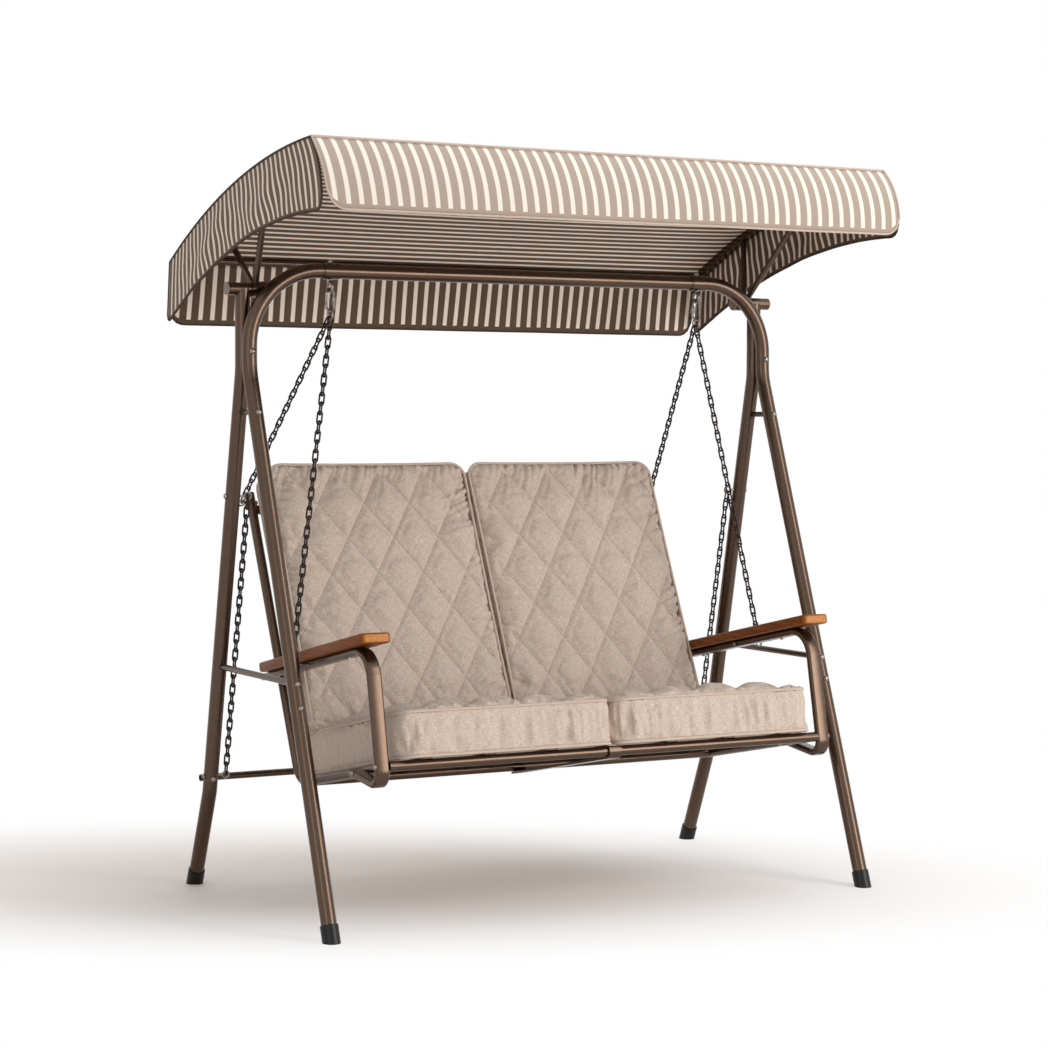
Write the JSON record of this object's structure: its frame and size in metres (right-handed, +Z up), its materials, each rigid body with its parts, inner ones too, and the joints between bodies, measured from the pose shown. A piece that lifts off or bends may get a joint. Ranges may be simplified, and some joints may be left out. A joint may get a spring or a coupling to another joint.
{
  "type": "garden swing",
  "caption": "Garden swing bench with quilted cushions and wooden arms, hung on chains from a bronze tube stand under a tilting striped canopy.",
  "frame": {"origin": "on the floor under the middle of the overall box", "axes": "+X to the sitter's left as seen from the front, right in the picture; front faces -Y; +Z up"},
  "size_m": [1.6452, 1.0015, 1.8819],
  "materials": {
    "bronze_paint": "satin",
    "black_steel": "satin",
    "black_chain": "satin",
    "zinc": "satin",
    "black_plastic": "matte",
    "grey_plastic": "matte",
    "teak": "satin",
    "cushion_fabric": "matte",
    "canopy_fabric": "matte"
  },
  "bodies": {
    "stand": {"apex_bolts": "zinc", "apex_spacers": "black_steel", "bar_collars": "bronze_paint", "brace_bolts": "zinc", "cross_tube_bolts": "zinc", "foot_caps": "black_plastic", "front_leg_left": "bronze_paint", "front_leg_right": "bronze_paint", "hanger_eyes": "zinc", "hub_retainers": "grey_plastic", "parking_chain_left": "black_chain", "parking_chain_right": "black_chain", "parking_eyes": "zinc", "rear_cross_tube": "bronze_paint", "rear_leg_left": "bronze_paint", "rear_leg_right": "bronze_paint", "side_brace_left": "bronze_paint", "side_brace_right": "bronze_paint", "stub_caps": "grey_plastic", "top_bar": "bronze_paint"},
    "canopy": {"canopy_bolts": "zinc", "canopy_bracket_left": "bronze_paint", "canopy_bracket_right": "bronze_paint", "canopy_front_rail": "bronze_paint", "canopy_rear_rail": "bronze_paint", "canopy_rear_valance": "canopy_fabric", "canopy_roof": "canopy_fabric", "canopy_side_rail_left": "bronze_paint", "canopy_side_rail_right": "bronze_paint", "canopy_side_valance_left": "canopy_fabric", "canopy_side_valance_right": "canopy_fabric"},
    "bench": {"arm_bolts": "zinc", "arm_eyes": "zinc", "arm_frame_left": "bronze_paint", "arm_frame_right": "bronze_paint", "arm_pad_left": "teak", "arm_pad_right": "teak", "arm_screws": "zinc", "back_cushion_left": "cushion_fabric", "back_cushion_right": "cushion_fabric", "back_eyes": "zinc", "back_lower_rail": "bronze_paint", "back_slats": "bronze_paint", "back_top_rail": "bronze_paint", "chain_rings": "zinc", "front_chain_left": "black_chain", "front_chain_right": "black_chain", "hanger_links": "zinc", "rear_chain_left": "black_chain", "rear_chain_right": "black_chain", "seat_cushion_left": "cushion_fabric", "seat_cushion_right": "cushion_fabric", "seat_front_rail": "bronze_paint", "seat_middle_bearer": "bronze_paint", "seat_rear_rail": "bronze_paint", "seat_side_frame_left": "bronze_paint", "seat_side_frame_right": "bronze_paint", "seat_slats": "bronze_paint"}
  },
  "joints": [
    {"name": "bench_swing", "type": "hinge", "parent": "stand", "child": "bench", "pos_m": [0, 0.06125, 1.5557], "axis": [1, 0, 0], "range_deg": [-20, 20]},
    {"name": "canopy_tilt", "type": "hinge", "parent": "stand", "child": "canopy", "pos_m": [0, 0.10525, 1.551], "axis": [1, 0, 0], "range_deg": [-12, 12]}
  ]
}
